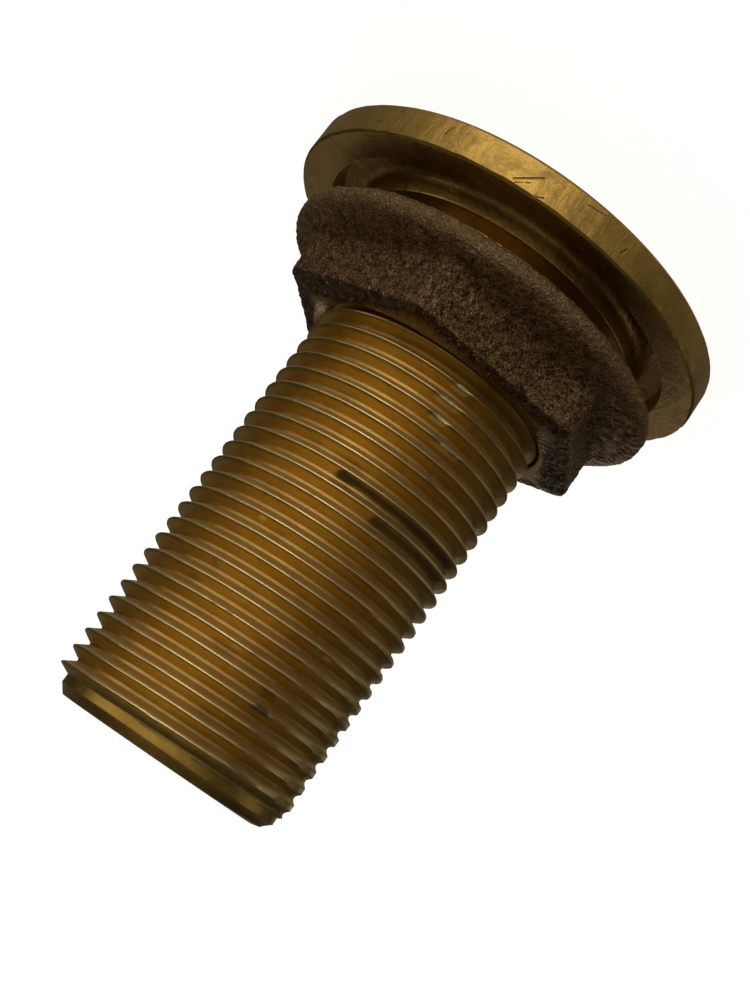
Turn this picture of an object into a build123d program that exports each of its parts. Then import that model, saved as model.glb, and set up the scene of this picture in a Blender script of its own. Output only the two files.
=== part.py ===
from build123d import *
import os
import math

# Through-hull fitting, 3/4 in straight pipe thread, cast bronze.
# Two real castings: the flanged tube (mushroom head and threaded stem in one
# piece) and the flanged hexagon nut that runs on the stem.
# Frame: origin on the stem axis in the seating plane of the head's underside,
# +Z along the stem towards its free, threaded end. Millimetres.

# ---- thread: 14 threads per inch, 60 degree form ----
PITCH = 25.4 / 14.0            # 1.8143
MAJOR_R = 13.05                # crest radius of the stem thread
ROOT_R = 11.85                 # root radius of the stem thread
ROOT_FLAT = 0.25               # width of the flat at the groove bottom
TAN30 = math.tan(math.radians(30.0))
CREST_Z0 = 0.050               # height of a crest at azimuth 0, modulo the pitch
FLANK_GAP = 0.17               # axial clearance on each flank between stem and nut
NUT_ROOT_R = 13.27             # root radius of the nut's internal thread
NUT_MINOR_R = 12.15            # crest radius of the nut's internal thread

# ---- stem ----
STEM_END_Z = 56.8              # seating plane to the free end, about 2 1/4 in
PILOT_LEN = 1.75               # plain turned lead at the free end
PILOT_CHAMFER = 0.6
NECK_R = 11.75                 # thread relief next to the boss
NECK_TOP_Z = 2.4
PILOT_R = 11.82                # just under the thread root
BORE_R = 9.5                   # water passage

# ---- mushroom head ----
HEAD_R = 23.8                  # 1 7/8 in diameter
RIM_H = 3.3                    # height of the cylindrical rim band
RIM_BREAK = 0.2                # broken edge of the rim on the seating side
HEAD_H = 7.6                   # seating plane to the crown
CROWN_R = 13.2                 # radius where the crown is highest
LAND_IN_R = 20.2               # inner edge of the flat seating land
GROOVE_Z = -1.9                # bottom of the sealant groove
GROOVE_OUT_R = 19.6
GROOVE_IN_R = 17.9
BOSS_R = 16.45                 # raised boss round the stem
BOSS_Z = 0.45

# ---- nut ----
NUT_FACE_Z = 3.85              # clamping face, at rest
NUT_END_Z = 12.35              # outer face, at rest
FLANGE_R = 21.25
HEX_APOTHEM = 16.3             # half of the width across the flats
HEX_CORNER_R = 2.4             # cast rounding of the six corners
HEX_DRAFT = 1.5                # degrees
HEX_AZIMUTH = -74.0            # azimuth of one corner, degrees
FACE_RING_T = 0.6              # machined clamping face ring: thickness
FACE_RING_IN_R = 14.2
FACE_RING_OUT_R = 20.2

os.makedirs("parts", exist_ok=True)


def ring_profile(points):
    """Solid of revolution about Z from a closed outline of (radius, height)."""
    with BuildPart() as p:
        with BuildSketch(Plane.XZ):
            with BuildLine():
                Polyline(*points, close=True)
            make_face()
        revolve(axis=Axis.Z)
    return p.part


def helical_ridge(r_a, w_a, r_b, w_b, z_phase, z_from, z_to):
    """Right-hand helical ridge whose section is a trapezoid from radius r_a to
    radius r_b, with the axial widths w_a and w_b. Its centre line passes
    azimuth 0 at the height z_phase, modulo the pitch, and runs from z_from to
    z_to."""
    path = Helix(pitch=PITCH, height=z_to - z_from, radius=(r_a + r_b) / 2.0, center=(0, 0, z_from))
    section = make_face(Polyline(
        (r_a, 0, z_from - w_a / 2.0), (r_b, 0, z_from - w_b / 2.0),
        (r_b, 0, z_from + w_b / 2.0), (r_a, 0, z_from + w_a / 2.0), close=True).edges())
    ridge = sweep(section, path=path, is_frenet=True)
    return Rot(0, 0, (z_from - z_phase) / PITCH * 360.0) * ridge


def groove_width(r):
    """Axial width of the stem's thread groove at radius r."""
    return ROOT_FLAT + 2.0 * (r - ROOT_R) * TAN30


# ------------------------------------------------------------------
# fitting body: mushroom head, boss, threaded stem, bore
# ------------------------------------------------------------------
with BuildPart() as body_blank:
    with BuildSketch(Plane.XZ):
        with BuildLine():
            # bell-mouth end of the bore, then the relief neck on the boss
            Line((BORE_R, -4.0), (BORE_R, NECK_TOP_Z))
            Line((BORE_R, NECK_TOP_Z), (NECK_R, NECK_TOP_Z))
            Line((NECK_R, NECK_TOP_Z), (NECK_R, BOSS_Z))
            Line((NECK_R, BOSS_Z), (BOSS_R, BOSS_Z))
            # wall and floor of the sealant groove, seating land
            Line((BOSS_R, BOSS_Z), (BOSS_R + 0.15, -0.7))
            ThreePointArc((BOSS_R + 0.15, -0.7), (BOSS_R + 0.5, GROOVE_Z + 0.35), (GROOVE_IN_R, GROOVE_Z))
            Line((GROOVE_IN_R, GROOVE_Z), (GROOVE_OUT_R, GROOVE_Z))
            Line((GROOVE_OUT_R, GROOVE_Z), (LAND_IN_R, 0))
            Line((LAND_IN_R, 0), (HEAD_R - RIM_BREAK, 0))
            Line((HEAD_R - RIM_BREAK, 0), (HEAD_R, -RIM_BREAK))
            Line((HEAD_R, -RIM_BREAK), (HEAD_R, -RIM_H))
            # domed outer face down to the bell-mouth
            Line((HEAD_R, -RIM_H), (HEAD_R - 0.45, -RIM_H - 0.4))
            ThreePointArc((HEAD_R - 0.45, -RIM_H - 0.4), (18.6, -5.9), (CROWN_R, -HEAD_H))
            ThreePointArc((CROWN_R, -HEAD_H), (10.6, -6.6), (BORE_R, -4.0))
        make_face()
    revolve(axis=Axis.Z)

CREST_FLAT = PITCH - ROOT_FLAT - 2.0 * (MAJOR_R - ROOT_R) * TAN30
THREAD_TOP_Z = STEM_END_Z - PILOT_LEN
ROOT_EMBED = 0.25              # the ridge starts this far below the root radius
ridge_r = ROOT_R - ROOT_EMBED
core = Rot(0, 0, 50) * ring_profile([
    (BORE_R, NECK_TOP_Z), (ROOT_R, NECK_TOP_Z), (ROOT_R, THREAD_TOP_Z), (BORE_R, THREAD_TOP_Z)])
stem_ridge = helical_ridge(
    ridge_r, CREST_FLAT + 2.0 * (MAJOR_R - ridge_r) * TAN30, MAJOR_R, CREST_FLAT,
    CREST_Z0, NECK_TOP_Z + 0.95, THREAD_TOP_Z - 0.6)
stem = core + stem_ridge

pilot = ring_profile([
    (BORE_R, THREAD_TOP_Z), (PILOT_R, THREAD_TOP_Z), (PILOT_R, STEM_END_Z - PILOT_CHAMFER),
    (PILOT_R - PILOT_CHAMFER, STEM_END_Z), (BORE_R + 0.5, STEM_END_Z), (BORE_R, STEM_END_Z - 0.5)])
fitting_body = body_blank.part + stem + pilot

# ------------------------------------------------------------------
# nut: round flange and hexagon in one casting, internal thread
# ------------------------------------------------------------------
with BuildPart() as flange_b:
    with BuildSketch(Plane.XZ):
        with BuildLine():
            Line((10, NUT_FACE_Z), (FLANGE_R - 0.9, NUT_FACE_Z))
            ThreePointArc((FLANGE_R - 0.9, NUT_FACE_Z), (FLANGE_R - 0.25, NUT_FACE_Z + 0.32), (FLANGE_R, NUT_FACE_Z + 1.0))
            ThreePointArc((FLANGE_R, NUT_FACE_Z + 1.0), (FLANGE_R - 0.42, NUT_FACE_Z + 1.95), (FLANGE_R - 1.5, NUT_FACE_Z + 2.4))
            Line((FLANGE_R - 1.5, NUT_FACE_Z + 2.4), (FLANGE_R - 3.6, NUT_FACE_Z + 2.75))
            Line((FLANGE_R - 3.6, NUT_FACE_Z + 2.75), (HEX_APOTHEM - 0.6, NUT_FACE_Z + 3.5))
            Line((HEX_APOTHEM - 0.6, NUT_FACE_Z + 3.5), (10, NUT_FACE_Z + 3.5))
            Line((10, NUT_FACE_Z + 3.5), (10, NUT_FACE_Z))
        make_face()
    revolve(axis=Axis.Z)

with BuildPart() as hex_b:
    with BuildSketch(Plane.XY.offset(NUT_FACE_Z + 1.2)):
        RegularPolygon(HEX_APOTHEM + 0.18, 6, major_radius=False, rotation=HEX_AZIMUTH)
    extrude(amount=NUT_END_Z - NUT_FACE_Z - 1.2, taper=HEX_DRAFT)
    fillet(hex_b.edges().filter_by(lambda e: abs(e.tangent_at(0.5).Z) > 0.7), radius=HEX_CORNER_R)

hex_limit = ring_profile([
    (8, NUT_FACE_Z + 0.5), (26, NUT_FACE_Z + 0.5), (26, NUT_END_Z - 4.4),
    (18.3, NUT_END_Z - 0.95), (15.6, NUT_END_Z - 0.45), (13.9, NUT_END_Z), (8, NUT_END_Z)])
nut_blank = flange_b.part + (hex_b.part & hex_limit)

# the bore at the thread's root radius, then the internal ridge with its running clearance
nut_bored = nut_blank - Pos(0, 0, (NUT_FACE_Z + NUT_END_Z) / 2.0) * Cylinder(NUT_ROOT_R, 20)
nut_ridge_r = NUT_ROOT_R + 0.25
nut_ridge = helical_ridge(
    NUT_MINOR_R, groove_width(NUT_MINOR_R) - 2.0 * FLANK_GAP,
    nut_ridge_r, groove_width(nut_ridge_r) - 2.0 * FLANK_GAP,
    CREST_Z0 + PITCH / 2.0, NUT_FACE_Z + 1.25, NUT_END_Z - 1.0)
nut_threaded = nut_bored + nut_ridge

# the machined clamping face of the nut, a thin ring let into the casting
face_ring = ring_profile([
    (FACE_RING_IN_R, NUT_FACE_Z - 0.15), (FACE_RING_OUT_R, NUT_FACE_Z - 0.15),
    (FACE_RING_OUT_R, NUT_FACE_Z - 0.15 + FACE_RING_T), (FACE_RING_IN_R, NUT_FACE_Z - 0.15 + FACE_RING_T)])
face_recess = ring_profile([
    (10, NUT_FACE_Z - 1), (FACE_RING_OUT_R + 0.04, NUT_FACE_Z - 1),
    (FACE_RING_OUT_R + 0.04, NUT_FACE_Z - 0.15 + FACE_RING_T + 0.03),
    (10, NUT_FACE_Z - 0.15 + FACE_RING_T + 0.03)])
nut = nut_threaded - face_recess

for name, shape in (("fitting_body", fitting_body), ("nut_clamping_face", face_ring), ("nut", nut)):
    solids = shape.solids()
    print(name, len(solids), "solids", [round(s.volume, 1) for s in solids], shape.bounding_box())
    export_step(solids[0] if len(solids) == 1 else Compound(children=list(solids)), "parts/" + name + ".step")
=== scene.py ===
"""A bronze mushroom-headed fitting with a round-flanged hexagon nut on its threaded stem.

The shared axis is Z. The underside of the head is at z = 0, the crown bulges towards -Z
and the stem runs to +Z. The nut's flange faces the head. The camera looks from -Y with -Z
mostly up in its view. Sizes are in millimetres unless noted. Meshes are built in
millimetres and scaled to metres. Angles are azimuths about Z in degrees, from +X.
"""

import itertools
import math

import bpy
import numpy as np
from mathutils import Matrix, Vector


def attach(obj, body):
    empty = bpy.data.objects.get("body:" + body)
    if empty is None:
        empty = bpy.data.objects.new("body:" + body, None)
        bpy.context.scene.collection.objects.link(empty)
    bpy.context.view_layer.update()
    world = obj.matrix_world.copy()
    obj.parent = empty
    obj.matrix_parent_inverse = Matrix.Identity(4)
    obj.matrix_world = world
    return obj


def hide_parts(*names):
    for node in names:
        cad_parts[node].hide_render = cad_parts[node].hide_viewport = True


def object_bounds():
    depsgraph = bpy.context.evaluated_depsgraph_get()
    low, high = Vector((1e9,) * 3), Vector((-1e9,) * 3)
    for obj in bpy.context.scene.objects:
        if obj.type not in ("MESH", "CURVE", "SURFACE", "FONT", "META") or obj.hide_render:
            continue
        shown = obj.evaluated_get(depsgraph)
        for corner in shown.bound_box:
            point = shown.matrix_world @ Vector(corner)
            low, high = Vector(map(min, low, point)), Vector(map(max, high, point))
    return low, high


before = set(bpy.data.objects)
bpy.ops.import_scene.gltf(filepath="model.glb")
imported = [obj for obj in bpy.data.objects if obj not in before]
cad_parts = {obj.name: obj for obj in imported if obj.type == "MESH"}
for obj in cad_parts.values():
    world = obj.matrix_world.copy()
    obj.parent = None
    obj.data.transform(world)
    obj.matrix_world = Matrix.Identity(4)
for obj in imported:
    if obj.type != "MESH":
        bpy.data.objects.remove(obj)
cad_lo, cad_hi = [list(v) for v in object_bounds()]

MM = 0.001
TURN = 2 * math.pi
TAN30 = math.tan(math.pi / 6)

# thread: 14 to the inch, 60 degree flanks, trapezoid profile
PITCH = 25.4 / 14.0
MAJOR_R = 13.05
ROOT_R = 11.85
ROOT_FLAT = 0.25
CREST_Z0 = 0.050  # a crest's middle at azimuth 0

# fitting
NECK_R = 11.75
NECK_TOP = 2.4
THREAD_TOP = 55.05
STEM_END = 56.8
PILOT_R = 11.82
BORE_R = 9.5
HEAD_R = 23.8
HEAD_EDGE_Z = -3.3  # where the rim turns into the crown

# nut
NUT_Z0 = 3.85
NUT_Z1 = 12.35
NUT_ROOT_R = 13.27
NUT_MINOR_R = 12.15
NUT_MOUTH_R = 13.35  # outer radius of the countersinks at the thread's ends
NUT_THREAD_Z0 = 4.53
NUT_THREAD_Z1 = NUT_Z1 - 0.3
FLANK_GAP = 0.17
CAST_SHIFT = -0.2  # the nut's cast outside is off the thread axis, along X


def groove_width(radius):
    """Width of the stem's thread groove at a radius."""
    return ROOT_FLAT + 2 * (radius - ROOT_R) * TAN30


CREST_FLAT = PITCH - groove_width(MAJOR_R)


# ------------------------------------------------------------------
# repeatable gradient noise and shaping functions
# ------------------------------------------------------------------
_random = np.random.RandomState(71)
_HASH = np.tile(_random.permutation(256).astype(np.int64), 2)
_GRADIENTS = _random.normal(size=(256, 3))
_GRADIENTS /= np.linalg.norm(_GRADIENTS, axis=1)[:, None]


def gradient_noise(points):
    """Gradient noise, about -0.7 to 0.7, at the points (n, 3)."""
    cell = np.floor(points).astype(np.int64)
    inside = points - cell
    fade = inside ** 3 * (inside * (inside * 6 - 15) + 10)
    total = 0.0
    for corner in itertools.product((0, 1), repeat=3):
        x, y, z = ((cell + corner) & 255).T
        gradient = _GRADIENTS[_HASH[_HASH[_HASH[x] + y] + z]]
        weight = np.prod(np.where(corner, fade, 1 - fade), axis=1)
        total = total + weight * (gradient * (inside - corner)).sum(1)
    return total


def fractal_noise(points, octaves=3, gain=0.5):
    total, amplitude = 0.0, 1.0
    for _ in range(octaves):
        total = total + amplitude * gradient_noise(points)
        points = points * 2.03 + 17.3
        amplitude *= gain
    return total


def smoothstep(value, start, end):
    """0 at start to 1 at end. It falls with value where start is above end."""
    share = np.clip((value - start) / (end - start), 0, 1)
    return share * share * (3 - 2 * share)


def smooth_max(first, second, blend):
    overlap = np.maximum(blend - np.abs(first - second), 0) / blend
    return np.maximum(first, second) + overlap * overlap * blend * 0.25


def smooth_min(first, second, blend):
    return -smooth_max(-first, -second, blend)


def bell(value, centre, width):
    return np.exp(-((value - centre) / width) ** 2)


def bell_around(angle, centre, width):
    """Bell over azimuth, the short way round."""
    return bell((angle - centre + 180) % 360 - 180, 0, width)


# ------------------------------------------------------------------
# mesh building: outlines turned about Z, and helical thread skins
# ------------------------------------------------------------------
def arc_points(start, middle, end, count):
    """count points after start, on the circle through the three points, ending at end."""
    (ax, ay), (bx, by), (cx, cy) = start, middle, end
    a_sq, b_sq, c_sq = ax**2 + ay**2, bx**2 + by**2, cx**2 + cy**2
    area = 2 * (ax * (by - cy) + bx * (cy - ay) + cx * (ay - by))
    centre_x = (a_sq * (by - cy) + b_sq * (cy - ay) + c_sq * (ay - by)) / area
    centre_y = (a_sq * (cx - bx) + b_sq * (ax - cx) + c_sq * (bx - ax)) / area
    radius = math.hypot(ax - centre_x, ay - centre_y)
    first, via, last = (math.atan2(y - centre_y, x - centre_x) for x, y in (start, middle, end))
    span = (last - first) % TURN
    if (via - first) % TURN > span:
        span -= TURN
    angles = [first + span * i / count for i in range(1, count + 1)]
    return [(centre_x + radius * math.cos(a), centre_y + radius * math.sin(a)) for a in angles]


def fillet_points(corner, before, after, radius):
    """The corner between two neighbours, rounded to radius."""
    corner, before, after = map(np.array, (corner, before, after))
    back = (before - corner) / np.linalg.norm(before - corner)
    ahead = (after - corner) / np.linalg.norm(after - corner)
    half = math.acos(float(back @ ahead)) / 2
    reach = radius / math.tan(half)
    bisector = (back + ahead) / np.linalg.norm(back + ahead)
    centre = corner + bisector * radius / math.sin(half)
    start, end = corner + back * reach, corner + ahead * reach
    middle = centre - bisector * radius
    return [tuple(start)] + arc_points(tuple(start), tuple(middle), tuple(end), 4)


def outline(items, step):
    """(radius, z) points from (radius, z), (radius, z, fillet) and ("arc", middle, end, count).

    Straight runs are cut to step, with an extra cut near each end of the longer ones.
    """
    end_cut, long_run = 0.1, 0.45
    corners = []  # ((radius, z), fillet)
    for item in items:
        if item[0] == "arc":
            corners += [(point, 0) for point in arc_points(corners[-1][0], *item[1:])]
        else:
            corners.append((item[:2], item[2] if len(item) > 2 else 0))
    rounded = []
    for i, (point, fillet) in enumerate(corners):
        if fillet:
            rounded += fillet_points(point, corners[i - 1][0], corners[i + 1][0], fillet)
        else:
            rounded.append(point)
    fine = [rounded[0]]
    for end in rounded[1:]:
        start = fine[-1]
        run, rise = end[0] - start[0], end[1] - start[1]
        length = math.hypot(run, rise)
        pieces = math.ceil(length / step)
        cuts = [k / pieces for k in range(1, pieces)]
        if length > long_run:
            cuts += [end_cut / length, 1 - end_cut / length]
        cuts = sorted(set(round(cut, 6) for cut in cuts))
        fine += [(start[0] + run * cut, start[1] + rise * cut) for cut in cuts] + [end]
    return np.array(fine)


class Skin:
    """Collects rings and thread skins that share columns, then welds them into one mesh.

    Each vertex carries a mark, true or false, that tells the skins apart after the weld.
    """

    def __init__(self, columns):
        self.angle = np.arange(columns) / columns * TURN
        self.verts, self.faces, self.marks, self.count = [], [], [], 0

    def _add(self, radius, z, mark, shift=0.0):
        x = radius * np.cos(self.angle) + shift
        y = radius * np.sin(self.angle)
        self.verts.append(np.stack([x, y, np.broadcast_to(z, x.shape)], -1).reshape(-1, 3))
        self.marks.append(np.full(x.size, mark))
        index = self.count + np.arange(x.size).reshape(x.shape)
        self.count += x.size
        return index

    def _quads(self, here, there, flip=False):
        """Faces between vertex indices (rows, columns) and those one column on."""
        quads = np.stack([here[:-1], there[:-1], there[1:], here[1:]], -1).reshape(-1, 4)
        self.faces.append(quads[:, ::-1] if flip else quads)

    def grid(self, radius, z, mark=False, shift=0.0):
        """Closed rings. radius, z and shift along X broadcast to (rows, columns)."""
        index = self._add(radius, z, mark, shift)
        self._quads(index, np.roll(index, -1, axis=1))

    def lathe(self, points):
        self.grid(points[:, :1], points[:, 1:])

    def thread(self, offsets, radii, z_phase, z_lo, z_hi, limit, mark=False, flip=False):
        """offsets: one pitch's profile heights from its centre line, ascending, with radii."""
        first = math.floor((z_lo - z_phase) / PITCH) - 2
        last = math.ceil((z_hi - z_phase) / PITCH) + 2
        base = (np.arange(first, last)[:, None] * PITCH + offsets[None]).ravel()
        z = z_phase + base[:, None] + self.angle[None] / TURN * PITCH
        z = np.clip(z, z_lo, z_hi)
        index = self._add(limit(np.tile(radii, last - first)[:, None], z), z, mark)
        self._quads(index[:, :-1], index[:, 1:], flip)
        # the last column joins the first one a pitch further on
        per_pitch = len(offsets)
        self._quads(index[:-per_pitch, -1:], index[per_pitch:, :1], flip)

    def weld(self):
        """Vertices, marks and [quads, triangles]. A weld keeps the first vertex's mark."""
        verts = np.concatenate(self.verts)
        key = np.round(verts * 1e4).astype(np.int64)
        _, first, inverse = np.unique(key, axis=0, return_index=True, return_inverse=True)
        faces = inverse.reshape(-1)[np.concatenate(self.faces)]
        same = faces == np.roll(faces, -1, axis=1)
        quads = faces[same.sum(1) == 0]
        # opposite corners that coincide enclose nothing
        quads = quads[(quads[:, 0] != quads[:, 2]) & (quads[:, 1] != quads[:, 3])]
        single = same.sum(1) == 1
        triangles = faces[single][~same[single]].reshape(-1, 3)
        used = np.unique(np.concatenate([quads.ravel(), triangles.ravel()]))
        kept = first[used]
        faces = [np.searchsorted(used, block) for block in (quads, triangles)]
        return verts[kept], np.concatenate(self.marks)[kept], faces


def build_mesh(name, verts, faces, attributes):
    mesh = bpy.data.meshes.new(name)
    mesh.from_pydata((verts * MM).tolist(), [], faces[0].tolist() + faces[1].tolist())
    mesh.update()
    for key, values in attributes.items():
        attribute = mesh.attributes.new(key, "FLOAT", "POINT")
        attribute.data.foreach_set("value", np.asarray(values, np.float32))
    mesh.shade_smooth()
    part = bpy.data.objects.new(name, mesh)
    bpy.context.scene.collection.objects.link(part)
    return part


def vertex_normals(verts, faces):
    """Vertex normals weighted by face area."""
    normals = np.zeros_like(verts)
    for block in faces:
        corners = verts[block]
        # half this product's length is the area, for triangles too
        area = np.cross(corners[:, 2] - corners[:, 0], corners[:, -1] - corners[:, 1])
        for column in block.T:
            np.add.at(normals, column, area)
    return normals / np.maximum(np.linalg.norm(normals, axis=1), 1e-12)[:, None]


# ------------------------------------------------------------------
# the fitting: mushroom head, boss and threaded stem, one casting
# ------------------------------------------------------------------
# from the thread's end round the pilot, bore, crown, rim and boss back to the neck
FITTING_OUTLINE = (
    (PILOT_R, THREAD_TOP), (PILOT_R, STEM_END - 0.92, 0.12), (PILOT_R - 0.72, STEM_END, 0.16),
    (BORE_R + 0.5, STEM_END, 0.1), (BORE_R, STEM_END - 0.5, 0.12), (BORE_R, -4.0),
    ("arc", (10.6, -6.6), (13.2, -7.6), 9), ("arc", (18.6, -5.9), (HEAD_R - 0.45, -3.7), 13),
    (HEAD_R, HEAD_EDGE_Z, 0.12), (HEAD_R, -0.2, 0.07), (HEAD_R - 0.2, 0, 0.07),
    (20.2, 0, 0.12), (19.6, -1.9, 0.3), (17.9, -1.9),
    ("arc", (16.95, -1.55), (16.6, -0.7), 6), (16.45, 0.45, 0.14), (NECK_R, 0.45, 0.35),
    (NECK_R, NECK_TOP),
)

# flattened crests: azimuth from and to, z
FLATS = (
    (-97.3, -105.2, 13.95), (-94.4, -106.4, 15.70), (-97.0, -105.5, 17.52),
    (-104.8, -118.0, 19.25), (-63.0, -66.5, 35.0), (-119.0, -124.0, 41.9), (-86.0, -90.0, 45.9),
)

# nicks in the crests: azimuth, z, half width in degrees, depth
NICKS = (
    (-89.5, 22.30, 2.0, 0.42), (-116.0, 12.6, 1.6, 0.2), (-77.4, 53.85, 2.4, 0.25),
    (-131.0, 33.2, 1.8, 0.25), (-50.0, 46.1, 1.8, 0.22), (-101.0, 38.6, 1.7, 0.2),
    (35.0, 30.0, 2.5, 0.35), (140.0, 18.0, 2.5, 0.3),
)

# dark oxide in the grooves: azimuth from and to, helix height, half height, level
STAINS = (
    (-160.0, -79.5, 27.74, 0.31, 1.0), (-156.0, -101.5, 29.55, 0.31, 0.9),
    (-150.0, -118.0, 31.2, 0.2, 0.35), (-113.5, -105.5, 48.9, 0.42, 1.0),
    (-60.0, -56.0, 40.4, 0.2, 0.4), (-150.0, -20.0, 55.10, 0.30, 0.55),
    (-175.0, -60.0, 56.0, 0.35, 0.5), (20.0, 75.0, 33.0, 0.4, 0.7),
    (100.0, 160.0, 21.0, 0.4, 0.6),
)


class FittingPoints:
    """The fitting's vertices before wear, in the coordinates that the wear is laid out in."""

    def __init__(self, verts, threaded):
        self.xyz = verts
        self.x, self.y, self.z = verts.T
        self.radius = np.hypot(self.x, self.y)
        self.angle = np.degrees(np.arctan2(self.y, self.x))
        self.helix = self.z - self.angle / 360 * PITCH  # constant along the thread
        self.thread = threaded & (self.z > NECK_TOP + 0.01) & (self.z < THREAD_TOP - 0.01)

    def helix_noise(self, around, across, shift=0.0):
        """Noise drawn out along the thread."""
        columns = [self.angle * around, self.helix * across, self.radius * 0]
        return fractal_noise(np.stack(columns, 1) + shift)

    def dents(self, scale, shift, octaves=3, gain=0.5):
        return np.clip(fractal_noise(self.xyz * scale + shift, octaves, gain), 0, 1)


def thread_wear(points):
    """Radial shift of the thread, crest mask and mask of the flattened places."""
    radius, angle, z, thread = points.radius, points.angle, points.z, points.thread
    wear = np.clip(points.helix_noise(around=0.12, across=1.1), -1, 1)
    crest = smoothstep(radius, 12.55, 13.0) * thread
    shift = -crest * (0.018 + 0.035 * np.clip(wear, 0, 1))

    # crests flattened by a jaw
    flat_r = 12.80 + 0.10 * fractal_noise(points.xyz * 2.2, octaves=2)
    worn = np.zeros(len(radius))
    for start, end, flat_z in FLATS:
        centre, half = (start + end) / 2, abs(end - start) / 2
        mask = smoothstep(np.abs(angle - centre), half * 1.15, half * 0.75)
        mask = mask * smoothstep(np.abs(z - flat_z), 0.7, 0.5) * thread
        cut = mask * np.minimum(flat_r - radius - shift, 0)
        shift = np.where(mask > 0.02, shift + cut, shift)
        worn = np.maximum(worn, mask * smoothstep(radius, 12.35, 12.7))

    # one side has lower crests towards the stem's end and fuller roots
    side = bell_around(angle, centre=-168, width=32) * smoothstep(z, 28, 52)
    top_r = 13.0 - 0.56 * side - 0.04 * wear
    shift = np.where(thread, np.minimum(shift, top_r - radius), shift)
    fill = bell_around(angle, centre=-168, width=30) * smoothstep(z, 13, 20)
    floor_r = np.minimum(ROOT_R + 0.23 * fill, 12.08)
    shift = np.where(thread, np.maximum(shift, floor_r - radius), shift)

    for nick_angle, nick_z, half, depth in NICKS:
        mask = bell(angle, nick_angle, half) * bell(z, nick_z, 0.45) * thread
        shift -= mask * depth * smoothstep(radius, 12.3, 12.9)
    return shift, crest, worn


def surface_wear(points):
    """Radial and Z shifts: handling marks and unevenness of the turned and cast surfaces."""
    radius, z = points.radius, points.z
    rim = bell(radius, HEAD_R, 0.35) * bell(z, 0, 0.35)
    radial = -rim * points.dents(scale=0.55, shift=0, octaves=4, gain=0.6) * 0.22
    along = -rim * points.dents(scale=0.7, shift=40, octaves=4, gain=0.6) * 0.16
    crown_edge = bell(radius, HEAD_R, 0.3) * bell(z, HEAD_EDGE_Z, 0.35)
    radial -= crown_edge * points.dents(scale=0.6, shift=9) * 0.12
    # the ring groove in the underside of the head
    groove = smoothstep(radius, 16.3, 16.7) * smoothstep(radius, 20.3, 19.9)
    groove = groove * (z > -2.5) * (z < 0.6)
    radial += groove * 0.05 * fractal_noise(points.xyz * 0.5 + 3, octaves=2)
    end_edge = bell(z, STEM_END, 0.35) * (radius > 10.6)
    radial -= end_edge * points.dents(scale=0.8, shift=21) * 0.10
    # the stem's end is low on one side
    sag = bell_around(points.angle, centre=-160, width=30)
    sag = sag * smoothstep(z, 55.6, STEM_END) * smoothstep(radius, 10.2, 11.6)
    return radial - 0.22 * sag, along - 0.42 * sag


def groove_stain(points):
    """Dark oxide left in the thread grooves, following the helix."""
    stain = np.zeros(len(points.radius))
    for start, end, height, half, level in STAINS:
        wobble = points.helix_noise(around=0.09, across=1.3, shift=height)
        angle = points.angle + wobble * 3.0
        mask = smoothstep(angle, start - 1.2, start + 1.2)
        mask = mask * smoothstep(angle, end + 1.2, end - 1.2)
        offset = np.abs(points.helix - height + wobble * 0.12)
        mask = mask * smoothstep(offset, half * 1.25, half * 0.75)
        stain = np.maximum(stain, mask * level * points.thread)
    root = smoothstep(points.radius, 12.2, 11.9) * points.thread
    patches = smoothstep(points.helix_noise(around=0.05, across=0.4, shift=5), 0.05, 0.5)
    return np.maximum(stain, 0.35 * root * patches)


def stem_limit(radius, z):
    """Cones that run the thread out into the neck and the pilot."""
    radius = np.minimum(radius, NECK_R + (z - NECK_TOP) * 1.4)
    return np.minimum(radius, PILOT_R + (THREAD_TOP - z) * 2.2)


def build_fitting():
    crest, root = CREST_FLAT / 2, ROOT_FLAT / 2
    flank = PITCH / 2 - crest - root
    half = [crest * 0.55, *(crest + flank * share for share in (0.07, 0.36, 0.68)),
            PITCH / 2 - root]
    offsets = np.array([-PITCH / 2, *(-offset for offset in reversed(half)), *half])
    down = np.clip((np.abs(offsets) - crest) / flank, 0, 1)
    radii = MAJOR_R + (ROOT_R - MAJOR_R) * down

    skin = Skin(columns=224)
    skin.thread(offsets, radii, CREST_Z0, NECK_TOP, THREAD_TOP, stem_limit, mark=True)
    skin.lathe(outline(FITTING_OUTLINE, step=1.25))
    verts, threaded, faces = skin.weld()

    points = FittingPoints(verts, threaded)
    thread_shift, crest_mask, worn = thread_wear(points)
    radial, along = surface_wear(points)
    scale = (points.radius + thread_shift + radial) / points.radius
    verts = np.stack([points.x * scale, points.y * scale, points.z + along], 1)
    part = build_mesh("fitting_casting", verts, faces, {
        "stain": groove_stain(points), "worn": worn, "crest": crest_mask, "thr": points.thread})
    part.data.set_sharp_from_angle(angle=math.radians(38))
    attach(part, "fitting")
    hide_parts("fitting_body")
    return part


# ------------------------------------------------------------------
# the nut: round flange and hexagon in one sand casting
# ------------------------------------------------------------------
# z, radius of the flange. It goes on inside the hexagon.
FLANGE = (
    (NUT_Z0, 20.5), (4.0, 20.85), (4.3, 21.1), (4.7, 21.2), (5.2, 21.1), (5.6, 20.8),
    (5.9, 20.3), (6.15, 19.5), (6.4, 18.3), (6.7, 16.8), (7.0, 15.0), (12.6, 8.0),
)
# radius, z from the thread out through the recess under the flange
RECESS = (
    (NUT_MOUTH_R, NUT_THREAD_Z0), (13.6, 4.33), (20.24, 4.33, 0.04), (20.24, 3.92),
    (20.34, 3.87),
)
# radius, z from the hexagon's end face in to the thread
MOUTH = np.array([
    (13.86, NUT_Z1 - 0.02), (13.55, NUT_Z1 - 0.08), (NUT_MOUTH_R, NUT_THREAD_Z1)])


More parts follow.
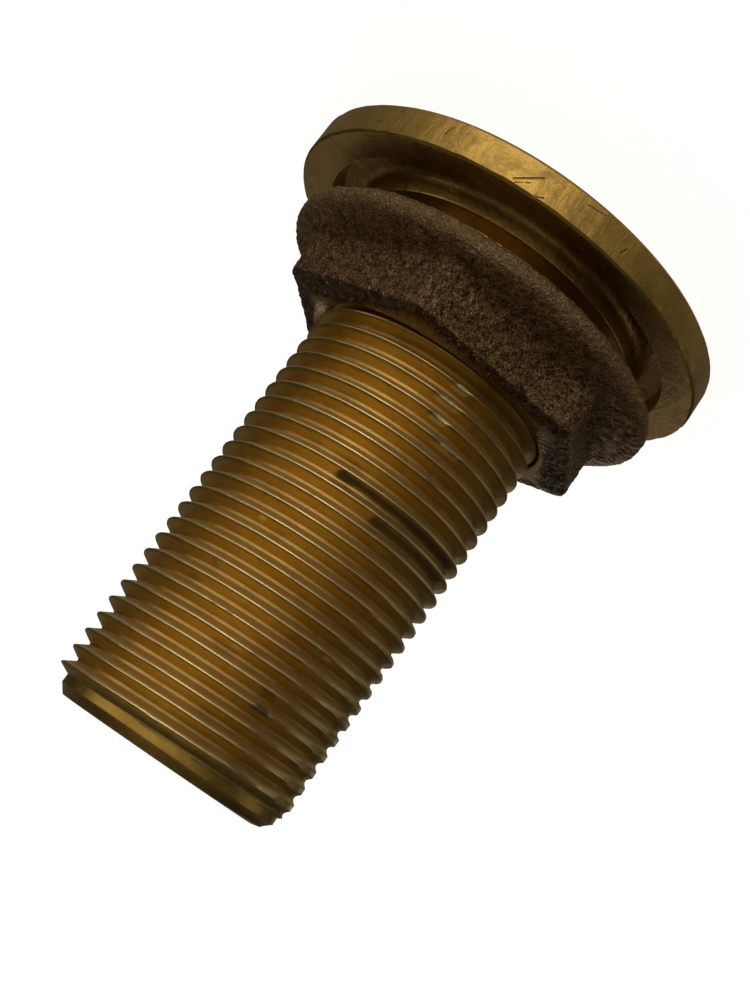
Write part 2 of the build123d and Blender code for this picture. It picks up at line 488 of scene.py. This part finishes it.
def hexagon_radius(angle, apothem, corner_r, corner_angle):
    """Polar radius of a hexagon with rounded corners, one of them at corner_angle."""
    sixth = math.pi / 3
    from_corner = np.mod(angle - math.radians(corner_angle) + sixth / 2, sixth) - sixth / 2
    from_flat = sixth / 2 - np.abs(from_corner)
    line = apothem / np.cos(from_flat)
    centre = (apothem - corner_r) / math.cos(sixth / 2)
    circle = centre * np.cos(from_corner) + np.sqrt(
        np.maximum(corner_r**2 - (centre * np.sin(from_corner)) ** 2, 0))
    tangent = np.arctan((apothem - corner_r) * TAN30 / apothem)
    return np.where(from_flat > tangent, np.minimum(circle, line), line)


def nut_outside(angle, z):
    """Radius of the cast outside over angle (1, columns) and z (rows, 1)."""
    flange = np.interp(z, *np.transpose(FLANGE))
    draft = math.tan(math.radians(1.5))
    hexagon = hexagon_radius(angle, 16.3 - (z - 6.5) * draft, corner_r=2.4, corner_angle=-74.0)
    radius = smooth_max(flange, hexagon, blend=2.8)
    # the height where the hexagon's edge starts to slope in, uneven round the nut
    degrees = np.degrees(angle)
    edge_z = 11.60 + 0.42 * np.cos(angle + math.radians(105))
    edge_z = edge_z - 0.17 * (0.5 + 0.5 * np.cos(2 * angle))
    edge_z = edge_z + 0.45 * bell(degrees, 38, 30) + 0.12 * bell(degrees, 142, 28)
    radius = smooth_min(radius, hexagon + (edge_z - z) * 3.0, blend=0.55)
    return np.maximum(radius, 13.95)


def nut_limit(radius, z):
    """Countersinks at the two ends of the nut's thread."""
    return np.maximum(
        radius, NUT_MOUTH_R - 1.5 * np.minimum(z - NUT_THREAD_Z0, NUT_THREAD_Z1 - z))


def add_nut_thread(skin):
    inner = groove_width(NUT_MINOR_R) - 2 * FLANK_GAP
    outer = groove_width(NUT_ROOT_R) - 2 * FLANK_GAP
    middle, middle_r = (inner + outer) / 4, (NUT_ROOT_R + NUT_MINOR_R) / 2
    offsets = np.array([-PITCH / 2, -outer / 2, -middle, -inner / 2, inner / 2, middle, outer / 2])
    radii = np.array([NUT_ROOT_R, NUT_ROOT_R, middle_r, NUT_MINOR_R, NUT_MINOR_R, middle_r,
                      NUT_ROOT_R])
    skin.thread(offsets, radii, CREST_Z0 + PITCH / 2, NUT_THREAD_Z0, NUT_THREAD_Z1,
                nut_limit, flip=True)


def build_nut():
    skin = Skin(columns=480)
    z = np.concatenate([
        np.linspace(NUT_Z0, 7.2, 28, endpoint=False),
        np.linspace(7.2, 10.9, 21, endpoint=False), np.linspace(10.9, NUT_Z1, 34)])[:, None]
    outside = nut_outside(skin.angle[None], z)
    skin.grid(outside, z, mark=True, shift=CAST_SHIFT)
    ring = np.ones(len(skin.angle))
    skin.grid(np.vstack([outside[-1], MOUTH[:, :1] * ring]), np.vstack([z[-1], MOUTH[:, 1:]]),
              shift=np.array([[CAST_SHIFT], [0], [0], [0]]))
    add_nut_thread(skin)
    recess = outline(RECESS, step=1.6)
    skin.lathe(recess)
    # the last ring of the recess joins the first row of the flange
    skin.grid(np.stack([recess[-1, 0] * ring, outside[0]]),
              np.array([[recess[-1, 1]], [NUT_Z0]]), shift=np.array([[0], [CAST_SHIFT]]))
    verts, marked, faces = skin.weld()

    # sand grain on the cast outside: lumps, grains and pits
    cast = smoothstep(np.hypot(verts[:, 0], verts[:, 1]), 13.5, 13.9) * marked
    lump = fractal_noise(verts / 4.5 + 11, octaves=2)
    grain = fractal_noise(verts / 0.95, gain=0.6)
    fine = fractal_noise(verts / 0.46 + 31, octaves=2, gain=0.7)
    pit = np.clip(fractal_noise(verts / 0.55 + 57, octaves=2) - 0.18, 0, 1)
    height = 0.14 * lump + 0.05 * grain + 0.14 * fine - 0.12 * pit
    verts = verts + vertex_normals(verts, faces) * (height * cast)[:, None]
    verts[:, 2] = np.where(cast > 0, np.maximum(verts[:, 2], NUT_Z0 - 0.05), verts[:, 2])
    tone = np.clip(0.5 + 0.9 * (0.6 * grain + 0.5 * fine - pit), 0, 1)
    part = build_mesh("nut_casting", verts, faces, {"cast": cast, "tone": tone})
    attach(part, "nut_turning")
    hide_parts("nut")
    return part


# ------------------------------------------------------------------
# shader graphs
# ------------------------------------------------------------------
class Graph:
    """A node tree, emptied and filled by calls that mostly return output sockets."""

    def __init__(self, owner):
        owner.use_nodes = True
        self.tree = owner.node_tree
        self.tree.nodes.clear()

    def node(self, kind, inputs, **settings):
        """inputs: input names or numbers with the sockets or values they get."""
        node = self.tree.nodes.new("ShaderNode" + kind)
        for key, value in settings.items():
            setattr(node, key, value)
        for key, value in inputs.items():
            socket = node.inputs[key]
            if isinstance(value, bpy.types.NodeSocket):
                self.tree.links.new(value, socket)
            elif socket.type == "RGBA":
                socket.default_value = (*value, 1.0)
            else:
                socket.default_value = value
        return node

    def math(self, operation, *values, clamp=False):
        inputs = dict(enumerate(values))
        return self.node("Math", inputs, operation=operation, use_clamp=clamp).outputs[0]

    def add(self, first, second):
        return self.math("ADD", first, second)

    def sub(self, first, second, clamp=False):
        return self.math("SUBTRACT", first, second, clamp=clamp)

    def mul(self, first, second, clamp=False):
        return self.math("MULTIPLY", first, second, clamp=clamp)

    def plus(self, base, *terms):
        """base plus each (value, weight) in turn."""
        for value, weight in terms:
            base = self.add(base, self.mul(value, weight))
        return base

    def vector(self, operation, *values, **named):
        inputs = {**dict(enumerate(values)), **named}
        node = self.node("VectorMath", inputs, operation=operation)
        return node.outputs["Value" if operation in ("LENGTH", "DOT_PRODUCT") else "Vector"]

    def step(self, value, start, end, low=0.0, high=1.0, kind="SMOOTHSTEP"):
        """low at start to high at end."""
        inputs = dict(enumerate((value, start, end, low, high)))
        return self.node("MapRange", inputs, interpolation_type=kind).outputs[0]


class Surface(Graph):
    """A material's graph, with the place on the part in millimetres and radians."""

    def __init__(self, name):
        self.material = bpy.data.materials.new(name)
        super().__init__(self.material)
        place = self.node("TexCoord", {}).outputs["Object"]
        self.place = self.vector("SCALE", place, Scale=1 / MM)
        self.x, y, self.z = self.node("SeparateXYZ", {0: self.place}).outputs
        self.radius = self.math("SQRT", self.add(self.mul(self.x, self.x), self.mul(y, y)))
        self.angle = self.math("ARCTAN2", y, self.x)

    def normal_z(self):
        normal = self.node("NewGeometry", {}).outputs["Normal"]
        return self.node("SeparateXYZ", {0: normal}).outputs[2]

    def attribute(self, name):
        return self.node("Attribute", {}, attribute_name=name).outputs["Fac"]

    def stretched(self, *axes):
        """A vector of (coordinate, scale) axes."""
        scaled = [self.mul(value, scale) for value, scale in axes]
        return self.node("CombineXYZ", dict(enumerate(scaled))).outputs[0]

    def noise(self, vector, scale, detail, rough, warp=0.0):
        return self.node("TexNoise", {
            "Vector": vector, "Scale": scale, "Detail": detail, "Roughness": rough,
            "Distortion": warp}).outputs["Fac"]

    def mix(self, share, first, second):
        # inputs 6 and 7 and output 2 are the colour sockets
        return self.node("Mix", {0: share, 6: first, 7: second}, data_type="RGBA").outputs[2]

    def coats(self, color, *layers):
        """Lays (mask, amount, colour) layers over color."""
        for mask, amount, coat in layers:
            color = self.mix(self.mul(mask, amount), color, coat)
        return color

    def bumps(self, *layers):
        """Normal from (height, strength, depth in mm) layers."""
        above = {}
        for height, strength, depth in layers:
            inputs = {"Strength": strength, "Distance": depth * MM, "Height": height, **above}
            above = {"Normal": self.node("Bump", inputs).outputs[0]}
        return above["Normal"]

    def scratch(self, start, end, width):
        """1 on the line between two points, falling to 0 at width."""
        along = end - start
        offset = self.vector("SUBTRACT", self.place, start)
        share = self.mul(
            self.vector("DOT_PRODUCT", offset, along), 1.0 / along.length_squared, clamp=True)
        away = self.vector("SUBTRACT", offset, self.vector("SCALE", along, Scale=share))
        return self.step(self.vector("LENGTH", away), width * 0.25, width, low=1.0, high=0.0)

    def finish(self, color, metallic, rough, normal):
        shader = self.node("BsdfPrincipled", {
            "Base Color": color, "Metallic": metallic, "Roughness": rough, "Normal": normal})
        self.node("OutputMaterial", {0: shader.outputs[0]})
        return self.material


# ------------------------------------------------------------------
# materials
# ------------------------------------------------------------------
# scratches and nicks on the rim: (azimuth, z) of both ends, width
RIM_MARKS = (
    ((-79.0, -0.60), (-84.2, -2.15), 0.12), ((-79.7, -0.35), (-82.3, -1.05), 0.08),
    ((-83.7, 0.0), (-86.6, -0.55), 0.09), ((-107.0, -1.2), (-107.6, -1.85), 0.13),
    ((-60.0, -1.6), (-60.8, -2.5), 0.10), ((-95.0, -2.6), (-99.5, -2.9), 0.07),
    ((-40.0, -1.0), (-43.0, -1.4), 0.09), ((30.0, -0.8), (36.0, -2.2), 0.13),
    ((150.0, -1.2), (157.0, -1.6), 0.12), ((98.0, -2.4), (101.0, -1.0), 0.12),
)


def on_rim(azimuth, z):
    angle = math.radians(azimuth)
    return Vector((HEAD_R * math.cos(angle), HEAD_R * math.sin(angle), z))


def rim_marks(mat):
    marks = None
    for start, end, width in RIM_MARKS:
        mark = mat.scratch(on_rim(*start), on_rim(*end), width)
        marks = mark if marks is None else mat.math("MAXIMUM", marks, mark)
    return marks


def machined_bronze():
    mat = Surface("machined_bronze")
    stain, worn, crest, thread = map(mat.attribute, ("stain", "worn", "crest", "thr"))
    normal_z = mat.normal_z()
    helix = mat.sub(mat.z, mat.mul(mat.angle, PITCH / TURN))
    arc = mat.mul(mat.angle, mat.radius)
    # tool lines run round the part: fine across the cut, long along it
    tool = mat.stretched((arc, 0.10), (helix, 9.0), (mat.radius, 9.0))
    lines = mat.noise(tool, scale=1.0, detail=4.0, rough=0.6)
    fine_lines = mat.noise(tool, scale=2.6, detail=3.0, rough=0.6)
    blotch = mat.noise(mat.place, scale=0.16, detail=5.0, rough=0.62, warp=0.6)
    mottle = mat.noise(mat.place, scale=0.9, detail=5.0, rough=0.65, warp=0.3)
    speck = mat.noise(mat.place, scale=4.5, detail=3.0, rough=0.6)

    # thread masks: the flanks facing +Z, given a deeper amber as painted shade and bounced light,
    # and facing -Z, given a pale tan as painted light; the worn, duller -X side; the crests, for a
    # painted highlight with the wear; and the roots, for a painted highlight line
    # painted light: +Z flanks are coloured as shaded amber and -Z flanks as lit pale tan, as if
    # the light falls from -Z
    amber_flank_shade = mat.mul(mat.step(normal_z, start=0.25, end=0.75), thread)
    pale_flank_light = mat.mul(mat.step(normal_z, start=-0.25, end=-0.75), thread)
    side = mat.math("DIVIDE", mat.x, mat.radius)
    dull = mat.mul(mat.step(side, start=-0.30, end=-0.85), thread)
    dull = mat.mul(dull, mat.step(mottle, start=0.30, end=0.62))
    outward = mat.step(normal_z, start=0.38, end=0.08)
    # painted highlight: pale gold lines on the crests' outward faces, joined with the real wear of
    # the flattened places
    crest_sheen_and_wear = mat.mul(mat.mul(crest, outward), mat.step(lines, start=0.25, end=0.50))
    crest_sheen_and_wear = mat.math("MAXIMUM", crest_sheen_and_wear, worn)
    # painted highlight: a pale line along the thread's roots
    root = mat.mul(mat.step(mat.radius, start=12.02, end=11.88), thread)
    # masks elsewhere: the head and its brown film, the stem's tip, the as-cast bore
    head = mat.step(mat.z, start=1.0, end=0.4)
    film = mat.noise(mat.place, scale=0.35, detail=6.0, rough=0.7, warp=1.2)
    film = mat.mul(mat.step(film, start=0.46, end=0.66), head)
    tip = mat.step(mat.z, start=55.90, end=56.20)
    bore = mat.mul(mat.step(mat.radius, start=9.9, end=9.6), 1.0)  # at full strength
    marks = mat.mul(rim_marks(mat), mat.step(mottle, start=0.34, end=0.50))

    # brown-gold metal, then mask, amount and colour of each coat
    tone = mat.plus(mat.mul(blotch, 0.55), (mottle, 0.45))
    color = mat.mix(
        mat.step(tone, start=0.33, end=0.68), (0.50, 0.310, 0.065), (0.70, 0.475, 0.120))
    color = mat.coats(
        color,
        # painted shade on the +Z flanks and painted light on the -Z flanks
        (amber_flank_shade, 0.35, (0.60, 0.395, 0.045)),
        (pale_flank_light, 0.75, (0.90, 0.670, 0.320)),
        (dull, 0.60, (0.48, 0.345, 0.150)),
        # painted crest highlight, with the flattened places' wear
        (crest_sheen_and_wear, 0.90, (1.00, 0.80, 0.41)),
        # painted highlight line in the roots
        (root, 0.35, (0.80, 0.60, 0.26)),
        (film, 0.70, (0.32, 0.195, 0.065)),
        (head, 0.45, (0.61, 0.405, 0.125)),
        (mat.step(speck, start=0.66, end=0.75), 0.5, (0.17, 0.11, 0.05)),
        (stain, 0.90, (0.085, 0.065, 0.030)),
        (tip, 0.40, (0.200, 0.115, 0.038)),
        (bore, 0.6, (0.26, 0.17, 0.075)),
        (marks, 0.60, (0.15, 0.09, 0.035)))

    # base roughness, then what each mask adds or takes away
    rough = mat.plus(
        0.30, (mottle, 0.20), (mat.sub(lines, 0.5), 0.25), (stain, 0.25), (film, 0.10),
        (bore, 0.20), (pale_flank_light, 0.12), (dull, 0.12))
    rough = mat.sub(rough, mat.mul(crest_sheen_and_wear, 0.10))
    rough = mat.sub(rough, mat.mul(head, 0.05), clamp=True)

    bands = mat.noise(
        mat.stretched((arc, 0.42), (mat.z, 0.06)), scale=1.0, detail=4.0, rough=0.6)
    dents = mat.noise(mat.place, scale=0.85, detail=4.0, rough=0.6, warp=0.8)
    normal = mat.bumps(  # height, strength, depth
        (mat.plus(mat.mul(lines, 0.6), (fine_lines, 0.4)), 0.55, 0.035),
        (mat.mul(mat.plus(bands, (dents, 0.35)), head), 1.0, 0.15),
        (mottle, 0.35, 0.10),
        (speck, 0.25, 0.03),
        (mat.sub(1.0, marks), 0.8, 0.12))
    metallic = mat.sub(1.0, mat.mul(stain, 0.5))
    return mat.finish(color, metallic, rough, normal)


def cast_bronze():
    mat = Surface("cast_bronze")
    cast, tone = mat.attribute("cast"), mat.attribute("tone")
    big = mat.noise(mat.place, scale=0.20, detail=4.0, rough=0.6, warp=0.4)
    middle = mat.noise(mat.place, scale=3.0, detail=4.0, rough=0.65)
    fine = mat.noise(mat.place, scale=5.2, detail=3.0, rough=0.6)
    grit = mat.node("TexVoronoi", {"Vector": mat.place, "Scale": 4.4}).outputs["Distance"]

    rosy = mat.noise(mat.place, scale=2.3, detail=3.0, rough=0.6)
    # painted light: the flange's outer bead, which faces the light from -Z, is made lighter
    bead_highlight = mat.mul(
        mat.step(mat.radius, start=19.6, end=20.6), mat.step(mat.z, start=6.1, end=5.2))
    # painted shade: faces towards +Z at the hexagon's far end from the head, turned near black
    end_face_shade = mat.mul(
        mat.step(mat.normal_z(), start=0.35, end=0.85), mat.step(mat.z, start=10.6, end=11.6))
    # painted highlights: bright specks in the colour that stand for glints on the sand grain
    glint = mat.noise(mat.place, scale=5.6, detail=2.0, rough=0.5)
    glint = mat.mul(
        mat.step(glint, start=0.55, end=0.65), mat.step(tone, start=0.35, end=0.75))

    # dark to light with the grain, then mask, amount and colour of each coat
    shade = mat.add(mat.mul(tone, 0.12), mat.plus(mat.mul(fine, 0.50), (middle, 0.38)))
    color = mat.mix(
        mat.step(shade, start=0.38, end=0.62), (0.040, 0.022, 0.009), (0.580, 0.350, 0.160))
    color = mat.coats(
        color,
        (mat.step(big, start=0.42, end=0.66), 0.25, (0.190, 0.100, 0.045)),
        (mat.step(rosy, start=0.58, end=0.72), 0.5, (0.42, 0.225, 0.120)),
        (bead_highlight, 0.65, (0.54, 0.360, 0.185)),
        # painted shade on the hexagon's far end
        (end_face_shade, 0.75, (0.045, 0.026, 0.010)),
        (glint, 0.85, (0.95, 0.70, 0.44)))

    # the bored and threaded surfaces are bright metal
    cut = mat.sub(1.0, cast)
    tool = mat.stretched((mat.angle, 1.2), (mat.z, 9.0), (mat.radius, 9.0))
    lines = mat.noise(tool, scale=1.0, detail=4.0, rough=0.6)
    bright = mat.mix(
        mat.step(lines, start=0.3, end=0.7), (0.46, 0.29, 0.10), (0.60, 0.41, 0.17))
    color = mat.mix(cut, color, bright)

    # base roughness, then what the grain, glints and cut metal change
    rough = mat.plus(0.31, (mat.sub(fine, 0.5), 0.40))
    rough = mat.sub(rough, mat.mul(glint, 0.12))
    rough = mat.sub(rough, mat.mul(cut, 0.08), clamp=True)
    normal = mat.bumps(  # height, strength, depth
        (mat.mul(middle, cast), 1.0, 0.46),
        (mat.mul(grit, cast), 1.0, 0.22),
        (mat.mul(fine, cast), 1.0, 0.18))
    return mat.finish(color, mat.plus(0.72, (cut, 0.28)), rough, normal)


def faced_bronze():
    mat = Surface("faced_bronze")
    tool = mat.stretched((mat.angle, 1.5), (mat.radius, 7.0), (mat.z, 2.0))
    lines = mat.noise(tool, scale=1.0, detail=5.0, rough=0.6)
    mottle = mat.noise(mat.place, scale=0.8, detail=5.0, rough=0.6)
    color = mat.mix(
        mat.step(lines, start=0.3, end=0.7), (0.22, 0.130, 0.045), (0.36, 0.230, 0.090))
    # mask, amount, colour
    color = mat.coats(color, (mat.step(mottle, start=0.5, end=0.7), 0.35, (0.25, 0.15, 0.06)))
    normal = mat.bumps((lines, 0.6, 0.04))  # height, strength, depth
    return mat.finish(
        color, metallic=1.0, rough=mat.plus(0.28, (mottle, 0.22)), normal=normal)


# ------------------------------------------------------------------
# camera, floor, light: in metres
# ------------------------------------------------------------------
def add_camera():
    data = bpy.data.cameras.new("camera")
    data.sensor_fit = "HORIZONTAL"
    data.sensor_width = 36.0
    data.lens = 65.004
    data.shift_x = -0.094992
    data.shift_y = 0.0011
    data.clip_start, data.clip_end = 0.005, 20.0
    camera = bpy.data.objects.new("camera", data)
    right = Vector((-0.81299, -0.19676, -0.54802))
    up = Vector((0.57928, -0.17800, -0.79546))
    back = Vector((0.05896, -0.96416, 0.25869))
    pose = Matrix((right, up, back)).transposed().to_4x4()
    pose.translation = Vector((0.0, -0.131061, 0.055549))
    camera.matrix_world = pose
    scene.collection.objects.link(camera)
    scene.camera = camera


def floor_material():
    """Near-white glow, a little weaker close to the part, as painted shade round it."""
    material = bpy.data.materials.new("floor")
    graph = Graph(material)
    distance = graph.vector("LENGTH", graph.node("TexCoord", {}).outputs["Object"])
    # painted shade: the glow falls to 0.94 close to the part
    strength = graph.step(distance, start=0.03, end=0.16, low=0.94, high=1.0, kind="LINEAR")
    glow = graph.node("Emission", {"Color": (0.985, 0.985, 0.98), "Strength": strength})
    matt = graph.node("BsdfDiffuse", {"Color": (0.8, 0.8, 0.79)})
    both = graph.node("AddShader", {0: glow.outputs[0], 1: matt.outputs[0]})
    graph.node("OutputMaterial", {0: both.outputs[0]})
    return material


def add_floor():
    half = 6.0
    z = cad_lo[2] - 0.0001
    mesh = bpy.data.meshes.new("floor")
    corners = [(-half, -half, z), (half, -half, z), (half, half, z), (-half, half, z)]
    mesh.from_pydata(corners, [], [(0, 1, 2, 3)])
    floor = bpy.data.objects.new("floor", mesh)
    scene.collection.objects.link(floor)
    mesh.materials.append(floor_material())
    # light comes from below too, so the floor is only seen and doesn't shade
    floor.visible_shadow = False
    floor.visible_diffuse = False
    floor.visible_glossy = False
    floor.visible_transmission = False


# soft patches of world light: direction, cosine where it starts, cosine where it is full, gain
LOBES = (
    ((0, 0, -1), 0.0, 0.85, 0.19),
    ((0.46, -0.72, -0.47), 0.60, 0.97, 0.17),
    ((0.12, -1.0, -0.05), 0.60, 1.0, 0.28),
    ((0.15, 0.85, 0.50), 0.78, 0.97, 0.10),
    ((0.1, 0.1, 1.0), 0.60, 1.0, 0.06),
    ((0.86, -0.50, 0.0), 0.93, 1.0, 0.34),
)
AMBIENT = 0.022


def add_world():
    """Plain white to the camera, warm patches of light to everything else."""
    world = bpy.data.worlds.new("studio")
    scene.world = world
    graph = Graph(world)
    ray = graph.node("TexCoord", {}).outputs["Generated"]
    level = None
    for direction, start, end, gain in LOBES:
        cosine = graph.vector("DOT_PRODUCT", ray, Vector(direction).normalized())
        patch = graph.step(cosine, start, end, high=gain)
        level = patch if level is None else graph.add(level, patch)
    level = graph.add(level, AMBIENT)
    seen = graph.node("Background", {"Color": (1, 1, 1), "Strength": 1.0})
    light = graph.node("Background", {"Color": (1.0, 0.90, 0.74), "Strength": level})
    to_camera = graph.node("LightPath", {}).outputs["Is Camera Ray"]
    mixed = graph.node("MixShader", {0: to_camera, 1: light.outputs[0], 2: seen.outputs[0]})
    graph.node("OutputWorld", {0: mixed.outputs[0]})


MIDDLE = (0, 0, 0.02)
# name, direction from the target, distance, width, height, watts, target
SOFTBOXES = (
    ("key", (0.42, -0.80, -0.42), 0.55, 0.24, 0.18, 0.16, MIDDLE),
    ("strip_a", (0.684, -0.557, -0.47), 0.6, 0.03, 0.22, 0.09, (0.009, -0.022, -0.002)),
    ("strip_b", (0.237, -0.849, -0.47), 0.6, 0.035, 0.22, 0.09, (0.003, -0.0236, -0.002)),
    ("side_left", (1.0, -0.25, 0.12), 0.7, 0.3, 0.3, 0.24, MIDDLE),
    ("side_right", (-1.0, 0.10, 0.2), 0.7, 0.3, 0.3, 0.10, MIDDLE),
    ("back", (-0.25, 1.0, -0.05), 0.7, 0.3, 0.3, 0.16, MIDDLE),
    ("overhead", (0.1, 0.2, 1.0), 0.8, 0.4, 0.4, 0.15, MIDDLE),
)


def add_softboxes():
    for name, direction, distance, width, height, power, target in SOFTBOXES:
        direction = Vector(direction).normalized()
        data = bpy.data.lights.new(name, "AREA")
        data.shape = "RECTANGLE"
        data.size, data.size_y = width, height
        data.energy = power
        data.color = (1, 0.91, 0.76)
        light = bpy.data.objects.new(name, data)
        light.location = Vector(target) + direction * distance
        light.rotation_mode = "QUATERNION"
        light.rotation_quaternion = (-direction).to_track_quat("-Z", "Y")
        scene.collection.objects.link(light)


scene = bpy.context.scene
fitting = build_fitting()
nut = build_nut()
fitting.data.materials.append(machined_bronze())
nut.data.materials.append(cast_bronze())
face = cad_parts["nut_clamping_face"]
face.data.materials.clear()
face.data.materials.append(faced_bronze())

add_camera()
add_floor()
add_world()
add_softboxes()
scene.view_settings.view_transform = "Standard"
scene.view_settings.look = "None"
scene.view_settings.exposure = 0.0
scene.view_settings.gamma = 1.0
